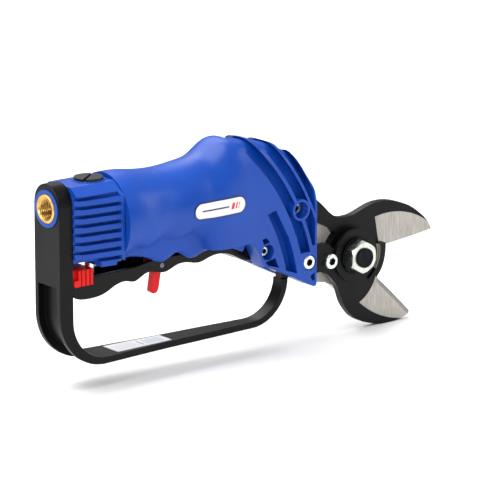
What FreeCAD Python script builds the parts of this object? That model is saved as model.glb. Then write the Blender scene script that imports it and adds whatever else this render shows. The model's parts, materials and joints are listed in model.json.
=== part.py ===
"""Hand-held pneumatic pruning shear: every separate piece as its own solid.

Frame, in millimetres: the origin is the centre of the air inlet's mouth. +X runs
forward to the blades, +Z is up and +Y is the side away from the pivot nut.
"""
import FreeCAD, Part
import math
import os

from FreeCAD import Vector

# ---------------------------------------------------------------- driving sizes
# hand guard
STRAP_HALF_W = 12.0
STRAP_T = 9.0
STRAP_TOP_Z = 2.5
GUARD_BOTTOM_Z = -94.5
GUARD_T = 3.8
GUARD_FRONT_X = 172.5
GUARD_REAR_R = 32.0
GUARD_FRONT_R = 27.0
CHANNEL_TOP_Z = -45.0
CHANNEL_DEPTH = 4.6
CHANNEL_HALF_W = 9.2

# air inlet, a G1/4 internal thread in a brass bush
INLET_MINOR_R = 5.72
INLET_LENGTH = 12.0
INLET_BUSH_R = 8.4
INLET_COLLAR_R = 11.0

# valve block
BLOCK_X0 = 9.2
BLOCK_X1 = 40.0
BLOCK_BOTTOM_Z = -34.5
BLOCK_TOP_Z = 12.7
BLOCK_HALF_W0 = 16.5
BLOCK_HALF_W1 = 20.5
FIN_COUNT = 7
FIN_TOP_Z = 4.0
FIN_PITCH = 5.25
FIN_GAP = 2.2
FIN_DEPTH = 4.0
VALVE_X = 29.5
VALVE_BORE_R = 6.5
STEM_R = 3.0
BLOCK_SCREWS = [(-9.0, -12.5), (9.0, -12.5), (-9.0, -26.5), (9.0, -26.5)]

# barrel and cylinder
AXIS_Z = -10.0
BARREL_X0 = 40.2
BARREL_X1 = 128.0
LINER_R = 21.0
BORE_R = 19.0
PISTON_X0 = 52.0
PISTON_T = 16.0
PISTON_R = 18.8
ROD_R = 6.0
FORK_X0 = 152.0
PIN_X = 176.0
PIN_R = 3.0
STROKE = 30.0

# head
HEAD_HALF_W = 21.0
HEAD_FRONT_X = 181.4
RIB_CENTRE = (38.0, -85.0)
RIB_DEPTH = 6.5
CROWN_DEPTH = 1.2
RIB_BOW = 4.5
RIB_WALL = 1.5
UPPER_BORE_R = 5.0
SECTION_POINTS = 16
HEAD_DROP = 20.0
HEAD_FOOT_Z = -71.2
BELLY_Z = -37.0
FRONT_WALL = 1.3
HEAD_CLEAR_Z = 40.0
SKIRT_HALF_W = 15.5

# blades; the pivot axis runs along Y
PIVOT = (222.0, -61.4)
CLOSE_DEG = 50.0
BOLT_R = 6.0
BLADE_HALF_T = 2.5
NEAR_Y0 = -7.5
NEAR_Y1 = -2.6
FAR_Y0 = 2.6
FAR_Y1 = 8.6
CHEEK_Y0 = -12.6
CHEEK_Y1 = -7.6
BOSS_R = 16.4
HORN_R = 20.0
NUT_FACE_Y = -16.6

# trigger
TRIGGER_PIVOT = (143.8, -44.5)
TRIGGER_HALF_W = 9.5
TRIGGER_WALL = 2.5
TRIGGER_BOLT_R = 2.5
POCKET_HALF_W = 10.2
POCKET_TOP_Z = -33.6
LEVER_PIVOT = (74.6, -43.4)
LEVER_PIN_R = 1.5
LEVER_HUB_HALF = 2.5
LEVER_TAB_HALF = 2.1

# screws through the head
UPPER_SCREW = (169.5, -23.0)
FRONT_SCREW = (176.0, -56.0)
TANG_SCREW = (202.2, -61.9)
TANG_SHANK_R = 2.1
SCREW_R = 2.5
SOCKET_SHARE = 0.95
SOCKET_DEPTH_SHARE = 0.6

ORIGIN_X = Vector(1, 0, 0)
ALONG_Y = Vector(0, 1, 0)
ALONG_Z = Vector(0, 0, 1)

parts = {}


# ---------------------------------------------------------------- shape helpers
def box(x0, x1, y0, y1, z0, z1):
    return Part.makeBox(x1 - x0, y1 - y0, z1 - z0, Vector(x0, y0, z0))


def rod_x(r, x0, x1, y=0.0, z=AXIS_Z):
    return Part.makeCylinder(r, x1 - x0, Vector(x0, y, z), ORIGIN_X)


def rod_y(r, y0, y1, centre):
    return Part.makeCylinder(r, y1 - y0, Vector(centre[0], y0, centre[1]), ALONG_Y)


def rod_z(r, z0, z1, x, y=0.0):
    return Part.makeCylinder(r, z1 - z0, Vector(x, y, z0), ALONG_Z)


def fuse(first, *others):
    return first.multiFuse(list(others)).removeSplitter()


def hexagon_y(across_flats, y0, y1, centre, turn=0.0):
    r = across_flats / math.sqrt(3.0)
    angles = [math.radians(60 * i + turn) for i in range(7)]
    corners = [Vector(centre[0] + r * math.cos(a), y0, centre[1] + r * math.sin(a)) for a in angles]
    return Part.Face(Part.makePolygon(corners)).extrude(Vector(0, y1 - y0, 0))


def side_wire(stretches, y=0.0):
    """Closed wire in the XZ plane. Each stretch is a list of (x, z) points.

    Two points make a straight line and three or more make one smooth curve. Each
    stretch starts where the one before it ends, and the last one returns to the start.
    """
    edges = []
    for points in stretches:
        vectors = [Vector(x, y, z) for x, z in points]
        if len(vectors) == 2:
            edges.append(Part.LineSegment(*vectors).toShape())
        else:
            curve = Part.BSplineCurve()
            curve.interpolate(vectors)
            edges.append(curve.toShape())
    return Part.Wire(edges)


def side_plate(stretches, y0, y1):
    return Part.Face(side_wire(stretches, y0)).extrude(Vector(0, y1 - y0, 0))


def side_polygon(points, y0, y1):
    corners = [Vector(x, y0, z) for x, z in list(points) + [points[0]]]
    return Part.Face(Part.makePolygon(corners)).extrude(Vector(0, y1 - y0, 0))


def ring_y(r_in, r_out, y0, y1, centre):
    return rod_y(r_out, y0, y1, centre).cut(rod_y(r_in, y0 - 1, y1 + 1, centre))


def coil_spring(centre, axis, r_ring, r_wire, length, turns):
    """A helical wire along axis from centre."""
    pitch = length / turns
    helix = Part.makeHelix(pitch, length, r_ring)
    heading = Vector(0, 2 * math.pi * r_ring, pitch)
    section = Part.Wire(Part.makeCircle(r_wire, Vector(r_ring, 0, 0), heading))
    coil = Part.Wire(helix).makePipeShell([section], True, True)
    coil.Placement = FreeCAD.Placement(centre, FreeCAD.Rotation(ALONG_Z, axis))
    return coil


# ---------------------------------------------------------------- barrel and head
def form_section(x, levels, half, square_top, square_low):
    """Closed upright section of the housing: rounded towards the barrel, squarer towards the head."""
    top, middle, bottom = levels
    points = []
    for i in range(SECTION_POINTS):
        turn = 2 * math.pi * i / SECTION_POINTS - math.pi / 2
        side, rise = math.cos(turn), math.sin(turn)
        square = square_top if rise >= 0 else square_low
        height = top - middle if rise >= 0 else middle - bottom
        y = math.copysign(abs(side) ** (2 / square), side) * half
        z = middle + math.copysign(abs(rise) ** (2 / square), rise) * height
        points.append(Vector(x, y, z))
    curve = Part.BSplineCurve()
    curve.interpolate(Points=points, PeriodicFlag=True)
    return Part.Wire(curve.toShape())


def housing_form(inset=0.0, lower=0.0):
    """Barrel and head in one smooth skin, or the same skin with its sides and crown moved inwards."""
    stations = [(36.0, 15.4, 25.4, 2.0), (46.0, 15.5, 25.5, 2.0), (56.0, 14.7, 24.7, 2.0),
                (66.0, 13.4, 23.4, 2.0), (76.0, 12.9, 22.9, 2.0), (86.0, 13.4, 23.2, 2.0),
                (96.0, 14.4, 23.6, 2.05), (105.0, 16.0, 23.8, 2.2), (112.0, 19.0, 23.8, 2.5),
                (118.0, 22.6, 23.4, 2.8), (126.0, 24.0, 22.8, 3.2), (136.0, 22.6, 22.0, 3.6),
                (146.0, 20.6, 21.4, 3.8), (156.0, 17.9, HEAD_HALF_W, 3.8), (165.0, 13.8, HEAD_HALF_W, 3.8),
                (173.0, 7.0, HEAD_HALF_W, 3.6), (180.0, -4.0, HEAD_HALF_W, 3.4),
                (187.0, -18.0, HEAD_HALF_W, 3.2)]
    wires = []
    for x, top, half, square in stations:
        flat = min(max((x - 96.0) / 40.0, 0.0), 1.0)
        middle = AXIS_Z - HEAD_DROP * flat
        bottom = middle - half - flat * (75.0 - half)
        wires.append(form_section(x, (top - lower, middle, bottom), half - inset, square, 2.0 + 6.0 * flat))
    skin = Part.makeLoft(wires, True, False)
    toe_x = HEAD_FRONT_X - 2.0
    toe_z = HEAD_FOOT_Z + 2.0
    toe = [(HEAD_FRONT_X, toe_z), (HEAD_FRONT_X - 0.6, HEAD_FOOT_Z + 0.6), (toe_x, HEAD_FOOT_Z)]
    keel = [(toe_x, HEAD_FOOT_Z), (169.0, -66.0), (161.0, -61.8), (151.0, -57.0), (141.5, -53.2)]
    throat = [(141.5, -53.2), (138.0, -46.5), (134.5, -40.5), (129.0, BELLY_Z)]
    rear = [(BARREL_X0, BELLY_Z), (BARREL_X0, HEAD_CLEAR_Z)]
    roof = [(BARREL_X0, HEAD_CLEAR_Z), (HEAD_FRONT_X, HEAD_CLEAR_Z)]
    front = [(HEAD_FRONT_X, HEAD_CLEAR_Z), (HEAD_FRONT_X, toe_z)]
    belly = [(129.0, BELLY_Z), (BARREL_X0, BELLY_Z)]
    window = side_plate([rear, roof, front, toe, keel, throat, belly], -40, 40)
    return skin.common(window)


def bowed_ring(r_in, r_out):
    """Ring round the rib centre whose walls bow outwards over the crown."""
    reach = 32.0
    bow = RIB_BOW * (reach / HEAD_HALF_W) ** 2

    def wall(r):
        ends = [Vector(RIB_CENTRE[0] + r + RIB_BOW - bow, y, RIB_CENTRE[1]) for y in (-reach, reach)]
        crown = Vector(RIB_CENTRE[0] + r + RIB_BOW, 0, RIB_CENTRE[1])
        return Part.Arc(ends[0], crown, ends[1]).toShape(), ends

    inner, inner_ends = wall(r_in)
    outer, outer_ends = wall(r_out)
    sides = [Part.LineSegment(a, b).toShape() for a, b in zip(inner_ends, outer_ends)]
    face = Part.Face(Part.Wire(Part.__sortEdges__([inner, outer] + sides)))
    face.rotate(Vector(RIB_CENTRE[0], 0, RIB_CENTRE[1]), ALONG_Y, 20)
    return face.revolve(Vector(RIB_CENTRE[0], 0, RIB_CENTRE[1]), ALONG_Y, -130)


def rib_grooves():
    """Curved grooves that leave raised ribs on the head's sides and fade out over its crown."""
    rings = [(135.5, 142.6, -49.5), (145.0, 151.6, -46.0), (153.4, 158.2, -26.0)]
    boss = rod_y(UPPER_BORE_R + RIB_WALL, -30, 30, UPPER_SCREW)
    grooves = []
    for r_in, r_out, foot in rings:
        ring = bowed_ring(r_in, r_out).common(box(90, HEAD_FRONT_X - FRONT_WALL, -30, 30, foot, 40))
        grooves.append(ring.cut(boss))
    for side in (-1, 1):
        low, high = sorted((side * 10.0, side * 30.0))
        slot = ring_y(123.0, 130.6, low, high, RIB_CENTRE)
        corners = [(142.5, -22.0), (150.0, -20.0), (172.0, -60.0), (170.4, -62.6), (158.0, -58.0)]
        slot = slot.common(side_polygon(corners, low, high))
        grooves.append(slot)
        toe_pocket = [(176.6, -64.4), (179.9, -62.4), (179.9, -67.4), (178.2, -67.6)]
        keel_pocket = [(141.7, -50.1), (149.6, -48.9), (152.3, -55.2), (144.1, -52.7)]
        eye_pocket = [(139.3, -36.0), (142.7, -35.6), (145.4, -38.6), (140.7, -39.6)]
        grooves += [side_polygon(p, low, high) for p in (toe_pocket, keel_pocket, eye_pocket)]
    return grooves


def finger_skirt():
    """Lower skirt of the grip with crests between the fingers."""
    start = BARREL_X0 + 1.2
    rear = [(start, -24.0), (start, -33.4)]
    wave = [(start, -33.4), (54.0, -34.4), (63.0, -37.0), (71.0, -40.2), (77.0, -38.6),
            (82.0, -36.4), (87.5, -38.6), (93.5, -41.4), (99.0, -40.2), (105.0, -38.6),
            (117.0, -38.8), (131.0, -43.6)]
    close = [(131.0, -43.6), (131.0, -24.0)]
    roof = [(131.0, -24.0), (start, -24.0)]
    skirt = side_plate([rear, wave, close, roof], -SKIRT_HALF_W, SKIRT_HALF_W)
    lower = [e for e in skirt.Edges if e.BoundBox.YLength < 0.1 and e.BoundBox.ZMax < -33.0
             and e.BoundBox.XLength > 60]
    return skirt.makeFillet(3.5, lower)


def tail_sweep():
    """Space that the moving blade's tail sweeps inside the head."""
    disc = rod_y(79.0, -3.4, 3.4, PIVOT)
    return disc.common(box(150.0, 210.0, -4, 4, -60, 40))


def barrel_housing():
    body = housing_form()
    core = housing_form(RIB_DEPTH, CROWN_DEPTH)
    for groove in rib_grooves():
        body = body.cut(groove.cut(core))
    body = body.fuse(finger_skirt())
    cuts = [rod_x(LINER_R, BARREL_X0 - 1, BARREL_X1),
            rod_x(8.0, BARREL_X1 - 1, 205.0),
            box(BARREL_X1 - 0.5, 205.0, -8.0, 8.0, AXIS_Z - 8.0, AXIS_Z),
            tail_sweep(),
            side_polygon([(152.0, -17.4), (200, -17.4), (200, -80), (152.0, -80)],
                         CHEEK_Y0 - 0.2, FAR_Y1 + 0.2),
            box(60.0, 152.5, -POCKET_HALF_W, POCKET_HALF_W, -62.0, POCKET_TOP_Z),
            box(BARREL_X0, 60.5, -POCKET_HALF_W, POCKET_HALF_W, -50.0, -37.0)]
    for side in (-1, 1):
        y_out = side * (HEAD_HALF_W + 4)
        for centre, bore, seat in ((UPPER_SCREW, UPPER_BORE_R, 12.8), (TRIGGER_PIVOT, 4.7, 15.4),
                                   (FRONT_SCREW, 4.7, 17.6)):
            low, high = sorted((side * seat, y_out))
            cuts.append(rod_y(bore, low, high, centre))
    for centre in (TRIGGER_PIVOT, FRONT_SCREW):
        cuts.append(rod_y(SCREW_R, -HEAD_HALF_W, HEAD_HALF_W, centre))
    cuts.append(rod_y(SCREW_R, -HEAD_HALF_W, CHEEK_Y1, UPPER_SCREW))
    cuts.append(rod_y(SCREW_R, FAR_Y0, HEAD_HALF_W, UPPER_SCREW))
    return body.cut(cuts)


# ---------------------------------------------------------------- valve block
def valve_block():
    corners = [(BLOCK_X0, -BLOCK_HALF_W0), (BLOCK_X1, -BLOCK_HALF_W1), (BLOCK_X1, BLOCK_HALF_W1),
               (BLOCK_X0, BLOCK_HALF_W0)]
    plan = [Vector(x, y, BLOCK_BOTTOM_Z) for x, y in corners]
    face = Part.Face(Part.makePolygon(plan + [plan[0]]))
    block = face.extrude(Vector(0, 0, BLOCK_TOP_Z - BLOCK_BOTTOM_Z))
    section = [(-30, -50), (-30, 0), (-19.5, 6.2), (-10.5, BLOCK_TOP_Z), (10.5, BLOCK_TOP_Z),
               (19.5, 6.2), (30, 0), (30, -50)]
    roof_corners = [Vector(BLOCK_X0 - 1, y, z) for y, z in section + [section[0]]]
    roof = Part.Face(Part.makePolygon(roof_corners)).extrude(Vector(40, 0, 0))
    block = block.common(roof)
    boss = rod_z(9.8, 0.0, 13.2, VALVE_X)
    spigot = rod_x(INLET_COLLAR_R, -0.6, BLOCK_X0 + 1, z=0.0)
    block = fuse(block, boss, spigot)
    cuts = []
    for i in range(FIN_COUNT + 1):
        z = FIN_TOP_Z + FIN_PITCH * (0.5 - i)
        for side in (-1, 1):
            depth_line = [Vector(BLOCK_X0 - 1, side * (BLOCK_HALF_W0 - FIN_DEPTH), z - FIN_GAP / 2),
                          Vector(37.0, side * (BLOCK_HALF_W1 - FIN_DEPTH), z - FIN_GAP / 2),
                          Vector(39.0, side * (BLOCK_HALF_W1 + 3), z - FIN_GAP / 2),
                          Vector(BLOCK_X0 - 1, side * (BLOCK_HALF_W0 + 3), z - FIN_GAP / 2)]
            groove = Part.Face(Part.makePolygon(depth_line + [depth_line[0]]))
            cuts.append(groove.extrude(Vector(0, 0, FIN_GAP)))
    for side in (-1, 1):
        corner = [Vector(BLOCK_X0 - 1, side * (BLOCK_HALF_W0 - 3.5), -40), Vector(13.5, side * 17.6, -40),
                  Vector(BLOCK_X0 - 1, side * 17.6, -40)]
        chamfer = Part.Face(Part.makePolygon(corner + [corner[0]]))
        cuts.append(chamfer.extrude(Vector(0, 0, 46)))
    cuts.append(rod_x(INLET_BUSH_R, -2, INLET_LENGTH + 1.0, z=0.0))
    cuts.append(rod_x(4.0, INLET_LENGTH, VALVE_X, z=0.0))
    cuts.append(rod_z(VALVE_BORE_R, -20.0, 20.0, VALVE_X))
    cuts.append(rod_z(8.6, 7.0, 20.0, VALVE_X))
    cuts.append(rod_z(5.0, -40.0, -20.0, VALVE_X))
    cuts.append(rod_x(3.5, VALVE_X, BLOCK_X1 + 1, z=-14.0))
    cuts.append(box(0, 24.6, -30, 30, -40, -31.2))
    cuts.append(rod_y(3.0, -30, 30, (37.5, BLOCK_BOTTOM_Z)))
    for y, z in BLOCK_SCREWS:
        cuts.append(rod_x(1.9, 0, 60, y, z))
        cuts.append(rod_x(3.6, 0, 13.5, y, z))
    return block.cut(cuts)


def inlet_bush():
    bush = rod_x(INLET_BUSH_R, -1.2, INLET_LENGTH, z=0.0)
    bush = bush.cut(rod_x(INLET_MINOR_R, -2, INLET_LENGTH + 1, z=0.0))
    mouth = Part.makeCone(INLET_MINOR_R + 1.1, INLET_MINOR_R, 1.1, Vector(-1.2, 0, 0), ORIGIN_X)
    return bush.cut(mouth)


def top_plug():
    plug = fuse(rod_z(8.5, 7.2, 14.6, VALVE_X), rod_z(6.2, 2.0, 7.2, VALVE_X))
    plug = plug.cut(rod_z(3.6, 0, 8.5, VALVE_X))
    plug = plug.cut(Part.makeTorus(6.2, 0.9, Vector(VALVE_X, 0, 4.0), ALONG_Z))
    slot = box(VALVE_X - 10, VALVE_X + 10, -0.8, 0.8, 12.6, 16)
    slot.rotate(Vector(VALVE_X, 0, 0), ALONG_Z, 38)
    return plug.cut(slot)


def plug_seal():
    ring = Part.makeTorus(6.2, 0.88, Vector(VALVE_X, 0, 4.0), ALONG_Z)
    return ring.common(rod_z(VALVE_BORE_R, 0, 8, VALVE_X))


def valve_seat():
    seat = fuse(rod_z(VALVE_BORE_R, -19.9, -15.0, VALVE_X), rod_z(5.0, -34.2, -19.9, VALVE_X))
    seat = seat.cut(rod_z(STEM_R + 0.05, -36, -24, VALVE_X))
    seat = seat.cut(rod_z(STEM_R + 1.2, -24.5, -10, VALVE_X))
    return seat.cut(rod_x(3.4, VALVE_X - 10, VALVE_X + 10, z=-22.0).common(box(0, 60, -4, 4, -21, -19.8)))


def valve_stem():
    stem = fuse(rod_z(STEM_R, -46.6, -8.0, VALVE_X), rod_z(2.2, -8.0, 3.0, VALVE_X))
    return fuse(stem, rod_z(5.4, -12.4, -8.0, VALVE_X))


def valve_disc():
    ring = rod_z(5.2, -14.6, -12.5, VALVE_X)
    return ring.cut(rod_z(STEM_R, -20, -5, VALVE_X))


def valve_spring():
    return coil_spring(Vector(VALVE_X, 0, -7.4), ALONG_Z, 4.4, 0.45, 8.8, 5)


def block_screws():
    screws = []
    for y, z in BLOCK_SCREWS:
        head = rod_x(3.5, 9.4, 13.4, y, z)
        screw = head.fuse(rod_x(1.9, 13.4, 44.0, y, z))
        socket = rod_x(1.5, 9.0, 11.6, y, z)
        screws.append(screw.cut(socket))
    return Part.makeCompound(screws)


# ---------------------------------------------------------------- hand guard
def guard_side():
    r_in = GUARD_REAR_R - 7.0
    bottom_in = GUARD_BOTTOM_Z + GUARD_T
    front_in = GUARD_FRONT_X - GUARD_T
    r_front_in = GUARD_FRONT_R - GUARD_T
    rear_c = (GUARD_REAR_R, GUARD_BOTTOM_Z + GUARD_REAR_R)
    rear_in_c = (STRAP_T + r_in, bottom_in + r_in)
    front_c = (GUARD_FRONT_X - GUARD_FRONT_R, GUARD_BOTTOM_Z + GUARD_FRONT_R)

    def v(x, z):
        return Vector(x, 0, z)

    def arc(c, r, a0, a1):
        mid = math.radians((a0 + a1) / 2)
        turns = [math.radians(a) for a in (a0, a1)]
        ends = [v(c[0] + r * math.cos(t), c[1] + r * math.sin(t)) for t in turns]
        return Part.Arc(ends[0], v(c[0] + r * math.cos(mid), c[1] + r * math.sin(mid)), ends[1]).toShape()

    top_z = 16.0
    edges = [Part.LineSegment(v(0, top_z), v(0, rear_c[1])).toShape(),
             arc(rear_c, GUARD_REAR_R, 180, 270),
             Part.LineSegment(v(rear_c[0], GUARD_BOTTOM_Z), v(front_c[0], GUARD_BOTTOM_Z)).toShape(),
             arc(front_c, GUARD_FRONT_R, 270, 360),
             Part.LineSegment(v(GUARD_FRONT_X, front_c[1]), v(GUARD_FRONT_X, -58.0)).toShape(),
             Part.LineSegment(v(GUARD_FRONT_X, -58.0), v(front_in, -58.0)).toShape(),
             Part.LineSegment(v(front_in, -58.0), v(front_in, front_c[1])).toShape(),
             arc(front_c, r_front_in, 360, 270),
             Part.LineSegment(v(front_c[0], bottom_in), v(rear_in_c[0], bottom_in)).toShape(),
             arc(rear_in_c, r_in, 270, 180),
             Part.LineSegment(v(STRAP_T, rear_in_c[1]), v(STRAP_T, top_z)).toShape(),
             Part.LineSegment(v(STRAP_T, top_z), v(0, top_z)).toShape()]
    face = Part.Face(Part.Wire(edges))
    face.translate(Vector(0, -20, 0))
    return face.extrude(Vector(0, 40, 0))


def hand_guard():
    band = guard_side()
    halves = [(-5, STRAP_HALF_W), (22, STRAP_HALF_W), (44, 10.6), (76, 8.2), (110, 6.8), (147, 5.0),
              (190, 5.0)]
    curve_low = Part.BSplineCurve()
    curve_low.interpolate([Vector(x, -w, -100) for x, w in halves])
    curve_high = Part.BSplineCurve()
    curve_high.interpolate([Vector(x, w, -100) for x, w in halves])
    ends = [Part.LineSegment(Vector(-5, -STRAP_HALF_W, -100), Vector(-5, STRAP_HALF_W, -100)).toShape(),
            Part.LineSegment(Vector(190, -5, -100), Vector(190, 5, -100)).toShape()]
    outline = [curve_low.toShape(), ends[1], curve_high.toShape(), ends[0]]
    plan = Part.Face(Part.Wire(Part.__sortEdges__(outline)))
    guard = band.common(plan.extrude(Vector(0, 0, 130)))
    crown = fuse(rod_x(STRAP_HALF_W, -1, 12, z=STRAP_TOP_Z), box(-1, 200, -20, 20, -100, STRAP_TOP_Z))
    guard = guard.common(crown)
    rear_c = (GUARD_REAR_R, GUARD_BOTTOM_Z + GUARD_REAR_R)
    bend = ring_y(GUARD_REAR_R - CHANNEL_DEPTH, GUARD_REAR_R + 3, -CHANNEL_HALF_W, CHANNEL_HALF_W, rear_c)
    bend = bend.common(box(-5, 30, -15, 15, -100, rear_c[1]))
    upright = box(-1, CHANNEL_DEPTH, -CHANNEL_HALF_W, CHANNEL_HALF_W, rear_c[1], CHANNEL_TOP_Z)
    web = ring_y(0.5, GUARD_REAR_R - 4.0, -15, 15, rear_c).common(box(16, 40, -15, 15, -100, -60))
    channel = fuse(upright, bend).cut(web)
    guard = guard.cut(channel)
    guard = guard.cut(rod_x(INLET_COLLAR_R, -5, 15, z=0.0))
    tongue = fuse(rod_y(5.6, -2.4, 2.4, FRONT_SCREW),
                  side_polygon([(GUARD_FRONT_X - GUARD_T, -72), (GUARD_FRONT_X, -72), (180.0, -60.0),
                                (170.5, -56.0), (GUARD_FRONT_X - GUARD_T, -60)], -2.4, 2.4))
    guard = guard.cut(box(160, 190, -9, 9, -68.5, -50))
    guard = fuse(guard, tongue)
    return guard.cut(rod_y(SCREW_R, -10, 10, FRONT_SCREW))


def guard_label():
    top = GUARD_BOTTOM_Z + GUARD_T
    plate = box(44.0, 84.0, -7.2, 7.2, top, top + 0.3)
    taper = [Vector(x, y, top - 1) for x, y in ((44, -7.4), (84, -6.0), (84, 6.0), (44, 7.4))]
    return plate.common(Part.Face(Part.makePolygon(taper + [taper[0]])).extrude(Vector(0, 0, 3)))


# ---------------------------------------------------------------- cylinder group
def cylinder_liner():
    return rod_x(LINER_R, 46.0, 118.0).cut(rod_x(BORE_R, 45, 119))


def cylinder_cap():
    cap = fuse(rod_x(LINER_R, 40.4, 46.0), rod_x(BORE_R, 46.0, 50.0))
    cap = cap.cut(rod_x(3.5, 40, 51, z=-14.0))
    cap = cap.cut(Part.makeTorus(BORE_R, 1.0, Vector(48.2, 0, AXIS_Z), ORIGIN_X))
    for y, z in BLOCK_SCREWS:
        cap = cap.cut(rod_x(1.9, 40, 45, y, z))
    return cap


def cap_seal():
    ring = Part.makeTorus(BORE_R, 0.98, Vector(48.2, 0, AXIS_Z), ORIGIN_X)
    return ring.common(rod_x(BORE_R, 46, 51))


def rod_guide():
    guide = fuse(rod_x(LINER_R, 118.0, BARREL_X1 - 0.2), rod_x(BORE_R, 112.0, 118.0))
    guide = guide.cut(rod_x(ROD_R + 0.06, 100, 140))
    guide = guide.cut(rod_x(ROD_R + 2.4, 122.0, 125.0))
    return guide.cut(rod_x(14.0, 111.0, 114.0))


def rod_seal():
    return rod_x(ROD_R + 2.4, 122.0, 125.0).cut(rod_x(ROD_R + 0.3, 121, 126))


def piston():
    body = rod_x(PISTON_R, PISTON_X0, PISTON_X0 + PISTON_T)
    groove = rod_x(PISTON_R + 1, PISTON_X0 + 5, PISTON_X0 + 8.4).cut(rod_x(PISTON_R - 2.6, 50, 80))
    body = body.cut(groove)
    body = body.cut(rod_x(14.0, PISTON_X0 + 10, PISTON_X0 + 20).cut(rod_x(9.0, 50, 80)))
    return body.cut(rod_x(4.0, 50, 80))


def piston_seal():
    ring = rod_x(PISTON_R + 0.14, PISTON_X0 + 5, PISTON_X0 + 8.4)
    return ring.cut(rod_x(PISTON_R - 2.6, 50, 80))


def piston_rod():
    rod = fuse(rod_x(ROD_R, PISTON_X0 + PISTON_T, FORK_X0), rod_x(4.0, PISTON_X0 - 0.4, PISTON_X0 + PISTON_T),
               rod_x(4.5, FORK_X0, FORK_X0 + 7))
    return rod.cut(rod_x(1.6, PISTON_X0 - 1, PISTON_X0 + 5))


def rod_fork():
    fork = rod_x(7.4, FORK_X0, PIN_X + 7.5).common(box(150, 190, -7.2, 7.2, AXIS_Z - 7, AXIS_Z + 7))
    fork = fork.cut(box(FORK_X0 + 8, 200, -2.9, 2.9, -30, 10))
    fork = fork.cut(rod_x(4.5, FORK_X0 - 1, FORK_X0 + 7))
    return fork.cut(rod_y(PIN_R, -10, 10, (PIN_X, AXIS_Z)))


def fork_pin():
    return rod_y(PIN_R, -7.0, 7.0, (PIN_X, AXIS_Z))


def return_spring():
    start = PISTON_X0 + PISTON_T - 5.4
    return coil_spring(Vector(start + 1.2, 0, AXIS_Z), ORIGIN_X, 12.0, 1.1, 110.2 - start, 8)


# ---------------------------------------------------------------- blades
def cam_path():
    """Places of the fork pin, seen from the moving blade, from open to closed."""
    points = []
    for i in range(7):
        turn = math.radians(CLOSE_DEG) * i / 6
        dx = PIN_X + STROKE * i / 6 - PIVOT[0]
        dz = AXIS_Z - PIVOT[1]
        x = dx * math.cos(turn) - dz * math.sin(turn)
        z = dx * math.sin(turn) + dz * math.cos(turn)
        points.append((PIVOT[0] + x, PIVOT[1] + z))
    return points


def cam_slot(half_width):
    """Slot with round ends along the cam path, cut square through the plate."""
    path = cam_path()
    left, right = [], []
    for i, (x, z) in enumerate(path):
        x0, z0 = path[max(i - 1, 0)]
        x1, z1 = path[min(i + 1, len(path) - 1)]
        length = math.hypot(x1 - x0, z1 - z0)
        nx, nz = (z1 - z0) / length * half_width, -(x1 - x0) / length * half_width
        left.append((x + nx, z + nz))
        right.append((x - nx, z - nz))
    band = side_plate([left, [left[-1], right[-1]], right[::-1], [right[0], left[0]]], -5, 5)
    return fuse(band, rod_y(half_width, -5, 5, path[0]), rod_y(half_width, -5, 5, path[-1]))


def upper_blade():
    top = [(184.2, -8.0), (188.6, -16.0), (194.6, -22.8), (200.8, -28.1), (206.3, -33.6), (211.4, -36.9),
           (217.2, -38.3), (223.5, -38.1), (231.3, -35.9), (237.6, -33.9), (245.6, -32.8), (253.5, -33.4),
           (261.5, -35.5), (269.6, -39.0), (277.7, -44.6), (284.3, -51.0), (287.2, -56.2)]
    edge = [(287.2, -56.2), (268.0, -58.6), (250.2, -60.2)]
    heel = [(250.2, -60.2), (238.0, -61.4)]
    under = [(238.0, -61.4), (222.0, -70.0)]
    back = [(222.0, -70.0), (211.6, -49.2)]
    arm = [(211.6, -49.2), (209.6, -45.4), (203.0, -41.4), (195.0, -38.4), (184.0, -44.0), (174.5, -47.8)]
    rear = [(174.5, -47.8), (164.6, -40.0), (165.6, -24.0), (167.4, -10.0)]
    nose = [(167.4, -10.0), (170.4, -3.4), (176.0, -1.4), (181.6, -3.4), (184.2, -8.0)]
    plate = side_plate([top, edge, heel, under, back, arm, rear, nose], -BLADE_HALF_T, BLADE_HALF_T)
    plate = fuse(plate, rod_y(17.0, -BLADE_HALF_T, BLADE_HALF_T, PIVOT))
    plate = plate.cut(rod_y(8.0, -5, 5, PIVOT))
    bevel = Part.makePolygon([Vector(0, BLADE_HALF_T + 0.1, 3.0), Vector(0, -BLADE_HALF_T + 0.3, -4.0),
                              Vector(0, BLADE_HALF_T + 0.1, -4.0), Vector(0, BLADE_HALF_T + 0.1, 3.0)])
    wedge = Part.Face(bevel).extrude(Vector(60, 0, 0))
    wedge.rotate(Vector(0, 0, 0), ALONG_Y, -6.0)
    wedge.translate(Vector(246.0, 0, -60.6))
    plate = plate.cut(wedge)
    return plate.cut(cam_slot(PIN_R + 0.3))


def blade_bush():
    return rod_y(8.0, -BLADE_HALF_T, BLADE_HALF_T, PIVOT).cut(rod_y(BOLT_R + 0.05, -5, 5, PIVOT))


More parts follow.
